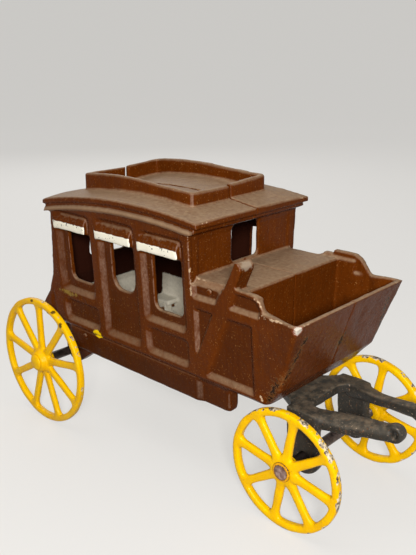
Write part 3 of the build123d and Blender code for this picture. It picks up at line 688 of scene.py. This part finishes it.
def closed_object(name, points, faces):
    """An object whose doubled points, at its poles, are merged and whose faces look out."""
    made = object_of(name, mesh_of(name, points.reshape(-1, 3), faces))
    work = bmesh.new()
    work.from_mesh(made.data)
    bmesh.ops.remove_doubles(work, verts=work.verts, dist=1e-7)
    bmesh.ops.dissolve_degenerate(work, edges=work.edges, dist=1e-7)
    bmesh.ops.recalc_face_normals(work, faces=work.faces)
    work.to_mesh(made.data)
    work.free()
    made.data.shade_smooth()
    return made


def rod_profile(reach, head):
    """The outline of a rod with a head at each end: distances y across the coach and radii."""
    half = [(reach, shaft_radius)] + [(reach + far, radius) for far, radius in head]
    return [(-y, radius) for y, radius in half[::-1]] + half


rods = [
    ("front_axle", front_place, disc_head, "forecarriage"),
    ("rear_axle", rear_place, domed_head, "coach"),
]
for name, (station, height, reach), head, carrier in rods:
    grid = turned(rod_profile(reach, head), station - centre_x, height, 64)
    rod = closed_object(f"{name}_rod", grid, faces_of(grid, False, True))
    finish, tree, shader, mm = paint(f"{name}_finish")
    patches = noise(tree, mm, 2.0, 4)
    fine = noise(tree, mm, 0.4, 2, shift=30)
    steel_colour = mixed(tree, ramp(tree, patches, 0.3, 0.7), linear(58, 50, 46), linear(104, 90, 84))
    steel_colour = mixed(tree, ramp(tree, fine, 0.6, 0.75, 0, 0.7), steel_colour, linear(52, 34, 26))
    across = maths(tree, "ABSOLUTE", add(tree, "ShaderNodeSeparateXYZ", {0: mm}).outputs[1], 0)
    coat = ramp(tree, across, reach * 1000 - 0.2, reach * 1000)
    head_colour = mixed(tree, patches, *yellow_colours)
    if name == "front_axle":
        axle_line = ((station - centre_x) * 1000, 0, height * 1000)
        around = ragged(tree, patch(tree, mm, axle_line, (1, 10000, 1)), fine, -0.2, 0.2)
        disc = mixed(tree, ramp(tree, patches, 0.35, 0.65), linear(92, 62, 56), linear(168, 142, 132))
        # Painted shadow: dark beyond the ring, where the head meets the hub; a thin dark line between the
        # bare disc and the ring.
        head_colour = mixed(tree, ramp(tree, around, 3.75, 3.95), linear(228, 160, 20), linear(48, 30, 12))
        head_colour = mixed(tree, ramp(tree, around, 3.0, 3.25), linear(60, 34, 20), head_colour)
        head_colour = mixed(tree, ramp(tree, around, 2.7, 2.95), disc, head_colour)
    tree.links.new(mixed(tree, coat, steel_colour, head_colour), shader.inputs["Base Color"])
    tree.links.new(ramp(tree, coat, 0, 1, 0.6, 0), shader.inputs["Metallic"])
    tree.links.new(ramp(tree, patches, 0.2, 0.8, 0.34, 0.50), shader.inputs["Roughness"])
    shader.inputs["Specular IOR Level"].default_value = 0.2
    bumps(tree, shader, [(patches, 0.0003), (fine, 0.00006)])
    rod.data.materials.append(finish)
    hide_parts(name)
    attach(rod, carrier)

# Wheels. Each is one iron casting: a rim, tapered spokes that run into it with
# soft corners, and a hub bored to turn loose on its axle. They were dipped in
# yellow paint, which has worn off the front rims and chipped in small dark specks.
wheel_voxel = 0.0004
wheel_passes = 3
wheel_wave = 0.00005
wheel_triangles = 88000
rim_depth = 0.0031
rim_width = 0.0032
rim_squareness = 0.45    # exponent of the cosine in a section, where 1 is an ellipse
rim_clear = 0.00002      # keeps the waves of the tread above the ground
hub_radius = 0.0052
hub_ends = (0.0043, 0.0045)  # radius at the inner and at the outer end
hub_swell = [(-0.0012, 0.0058), (0.0010, 0.0060)]  # distance out and radius where the spokes meet it
hub_inside = 0.0040      # the hub reaches this far inside the middle of the rim
bore_play = 0.00008
bore_radius = shaft_radius + bore_play
spoke_width = (0.0038, 0.0033)  # at the hub and at the rim
spoke_depth = 0.0026
spoke_squareness = 0.62
# Where a spoke runs into the hub or the rim: length, and what half its width and depth gain
hub_corner = (0.0013, 0.0008, 0.0003)
rim_corner = (0.0011, 0.0015, 0.0002)
# Dark nicks in the near rear rim: place and reach, in millimetres
rim_nicks = [
    ((-75.3, -46.3, 62.3), (1.3, 1.5, 0.7)),
    ((-58.8, -45.6, 60.3), (1.2, 1.2, 0.8)),
    ((-52.9, -46.3, 55.4), (1.1, 1.2, 1.5)),
]
# Each end: its axle's place, spokes, turn of the first one in degrees, how far the hub reaches
# outside the middle of the rim, that middle's distance from the seam, and wear of the tread in mm
wheel_kinds = {
    "front": (front_place, 8, 80, 0.0015, 0.0322, 0.75),
    "rear": (rear_place, 9, 90, 0.0040, 0.0447, 0.0),
}


def wheel_rim(radius):
    """A ring of a squarish section: its corners follow the powers of a cosine and a sine."""
    turn = np.linspace(0, tau, 40, endpoint=False)
    y = rim_width / 2 * softened(np.cos(turn), rim_squareness)
    out = radius - rim_depth / 2 + rim_depth / 2 * softened(np.sin(turn), rim_squareness)
    points = turned(np.stack([y, out], axis=1), 0, 0, 180)
    return points.reshape(-1, 3), faces_of(points, True, True)


def wheel_hub(outside, side):
    """A bored hub that swells where the spokes meet it and narrows to its outer end."""
    loop = [(-hub_inside, bore_radius), (-hub_inside, hub_ends[0]), (-hub_inside + 0.0009, hub_radius),
            *hub_swell, (outside * 0.75, hub_radius), (outside, hub_ends[1]), (outside, bore_radius)]
    points = turned([(side * y, radius) for y, radius in loop], 0, 0, 96)
    return points.reshape(-1, 3), faces_of(points, True, True)


def wheel_spoke(radius, angle):
    """A bar of a rounded section from the hub to the rim. Its half width is a straight taper
    plus two flares that die away as exponentials of the distance to the hub and the rim."""
    begin, end = hub_radius * 0.7, radius - rim_depth * 0.6
    along = np.linspace(begin, end, 48)[:, None]
    inside_rim = radius - rim_depth
    taper = np.interp(along, [hub_radius, inside_rim], spoke_width) / 2
    to_hub = np.exp(-np.clip(along - hub_radius, 0, None) / hub_corner[0])
    to_rim = np.exp(-np.clip(inside_rim - along, 0, None) / rim_corner[0])
    width = taper + hub_corner[1] * to_hub + rim_corner[1] * to_rim
    depth = spoke_depth / 2 + hub_corner[2] * to_hub + rim_corner[2] * to_rim
    closing = np.ones((48, 1))
    closing[[0, -1]] = 0
    turn = np.linspace(0, tau, 32, endpoint=False)
    across = width * softened(np.cos(turn), spoke_squareness) * closing
    y = depth * softened(np.sin(turn), spoke_squareness) * closing
    x = along * cos(angle) - across * sin(angle)
    z = along * sin(angle) + across * cos(angle)
    points = np.stack([x, y, z], axis=-1)
    return points.reshape(-1, 3), faces_of(points, False, True)


def cast_wheel(name, end, side):
    """A wheel's casting, made round the centre plane and then moved out to its place. Its
    attribute tread is how near the worn tread each point lies, in millimetres."""
    place, spokes, first, outside, rim_middle, wear = wheel_kinds[end]
    station, radius = place[:2]
    centre = np.array([station - centre_x, 0, radius])
    parts = [wheel_hub(outside, side)]
    parts += [wheel_spoke(radius, radians(first + 360 / spokes * k)) for k in range(spokes)]
    parts = [(points + centre, faces) for points, faces in parts]
    points, faces = wheel_rim(radius - rim_clear)
    made = object_of(name, mesh_of(name, points + centre, faces))
    cast_skin(made, wheel_voxel, wheel_passes, wheel_wave, wheel_triangles, 31, added=parts)
    add_values(made, "tread", lambda x, y, z: (np.hypot(x - centre[0], z - radius) - radius) * 1000 + wear)
    made.data.transform(Matrix.Translation((0, rim_middle * side, 0)))
    return made


yellow, tree, shader, mm = paint("yellow_paint_on_iron")
clouds = noise(tree, mm, 9, 3)
mottle = noise(tree, mm, 1.4, 4)
grain = noise(tree, mm, 0.4, 2)
colour = mixed(tree, clouds, *yellow_colours)
colour = mixed(tree, ramp(tree, mottle, 0.4, 0.75, 0, 0.35), colour, linear(238, 168, 4))
# Painted shade: darker orange in the hollows where spokes meet hub and rim.
colour = mixed(tree, ramp(tree, attribute(tree, "hollow"), 0.15, 0.9, 0, 0.5), colour, linear(204, 126, 6))
specks = ramp(tree, noise(tree, mm, 0.7, 2, shift=70), 0.71, 0.75, 0, 0.8)
colour = mixed(tree, specks, colour, linear(120, 84, 30))
struck = ramp(tree, noise(tree, mm, 1.2, 3, shift=77), 0.56, 0.66)
nicks = maths(tree, "MULTIPLY", attribute(tree, "edge"), struck)
colour = mixed(tree, ramp(tree, nicks, 0.35, 0.6, 0, 0.85), colour, linear(96, 66, 24))
for place, reach in rim_nicks:
    nick = ragged(tree, patch(tree, mm, place, reach), grain, -0.3, 0.3)
    colour = mixed(tree, ramp(tree, nick, 0.8, 1.1, 0.9, 0), colour, linear(52, 34, 14))
broken = ramp(tree, noise(tree, mm, 3.6, 4, 0.55, shift=10), 0.38, 0.62, -1.1, 0.4)
worn = ramp(tree, maths(tree, "ADD", attribute(tree, "tread"), broken), 0.25, 0.38)
tarnish = ramp(tree, noise(tree, mm, 1.2, 3, shift=25), 0.40, 0.60)
metal = mixed(tree, tarnish, linear(72, 60, 52), linear(222, 204, 172))
colour = mixed(tree, worn, colour, metal)
tree.links.new(colour, shader.inputs["Base Color"])
tree.links.new(ramp(tree, mottle, 0.2, 0.8, 0.22, 0.38), shader.inputs["Roughness"])
shader.inputs["Specular IOR Level"].default_value = 0.12
bumps(tree, shader, [(clouds, 0.0004), (mottle, 0.00018), (grain, 0.00006)])

for end in wheel_kinds:
    for side_name, side in (("right", -1), ("left", 1)):
        name = f"{end}_wheel_{side_name}"
        wheel = cast_wheel(f"{name}_casting", end, side)
        wheel.data.materials.append(yellow)
        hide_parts(name)
        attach(wheel, name)

# Studio. A wide pale dish serves as floor and backdrop, under a low main lamp
# near the viewer and wide soft ones above and behind. It looks pale, but throws
# back a warmer light. The camera stands where the photograph was taken.
dish_radius = 3
dish_rise = 2.2
dish_flat = 0.45         # the share of the radius that is level
floor_glow = 0.62
air_light = 0.12
aim = np.array([0, 0, 0.06])  # where the lamps point
camera_place = (0.20373, -0.21873, 0.17652)
yaw, pitch, roll = radians(43.27), radians(-18.01), radians(-0.33)
focal_length = 45.38


def standing(rightward, upward, backward, place):
    """The matrix that stands a lamp or a camera at a place, with its own axes this way."""
    rows = [list(row) for row in zip(rightward, upward, backward, place)]
    return Matrix(rows + [[0, 0, 0, 1]])


# The dish rises towards its rim as a power of the distance beyond the level part
rings = np.linspace(0, 1, 60) ** 1.5
ring, turn = np.meshgrid(rings, np.linspace(0, tau, 96, endpoint=False), indexing="ij")
rise = np.clip((ring - dish_flat) / (1 - dish_flat), 0, 1) ** 2.5
spread = dish_radius * ring
dish = np.stack([spread * np.cos(turn), spread * np.sin(turn), dish_rise * rise], axis=-1)
dish_mesh = mesh_of("studio_floor", dish.reshape(-1, 3), faces_of(dish, False, True)[:, ::-1])
floor = object_of("studio_floor", dish_mesh)
floor.data.shade_smooth()
# The floor glows pale to the camera and to mirrors, and is a warm grey to all other light
pale, tree, shader, mm = paint("pale_floor")
rays = add(tree, "ShaderNodeLightPath").outputs
mirrored = maths(tree, "MAXIMUM", rays["Is Glossy Ray"], rays["Is Transmission Ray"])
seen = maths(tree, "MAXIMUM", rays["Is Camera Ray"], mirrored)
floor_colour = mixed(tree, seen, linear(84, 70, 56), linear(136, 134, 131))
tree.links.new(floor_colour, shader.inputs["Base Color"])
shader.inputs["Roughness"].default_value = 0.9
shader.inputs["Emission Color"].default_value = linear(244, 242, 238)
tree.links.new(maths(tree, "MULTIPLY", seen, floor_glow), shader.inputs["Emission Strength"])
floor.data.materials.append(pale)

world = bpy.data.worlds.new("studio_air")
world.use_nodes = True
air = world.node_tree.nodes["Background"]
air.inputs["Color"].default_value = linear(236, 236, 238)
air.inputs["Strength"].default_value = air_light
bpy.context.scene.world = world

# Name, place, width and power of each lamp
lamps = [
    ("main_lamp", (0.36, -0.36, 0.28), 0.10, 3.7),
    ("top_lamp", (-0.10, -0.10, 0.80), 0.6, 2.1),
    ("back_lamp", (-0.65, 0.45, 0.50), 0.5, 1.7),
]
for name, place, size, power in lamps:
    lamp = bpy.data.lights.new(name, "AREA")
    lamp.size = size
    lamp.energy = power
    back = (place - aim) / np.linalg.norm(place - aim)
    across = np.cross((0, 0, 1), back)
    across = across / np.linalg.norm(across)
    holder = object_of(name, lamp)
    holder.matrix_world = standing(across, np.cross(back, across), back, place)

ahead = np.array([-sin(yaw) * cos(pitch), cos(yaw) * cos(pitch), sin(pitch)])
level = np.cross(ahead, (0, 0, 1))
level = level / np.linalg.norm(level)
above = np.cross(level, ahead)
right = cos(roll) * level + sin(roll) * above
up = cos(roll) * above - sin(roll) * level
lens = bpy.data.cameras.new("camera")
lens.sensor_width = 36
lens.lens = focal_length
lens.clip_start = 0.01
lens.clip_end = 20
camera = object_of("camera", lens)
camera.matrix_world = standing(right, up, -ahead, camera_place)
bpy.context.scene.camera = camera
bpy.context.scene.view_settings.view_transform = "Standard"
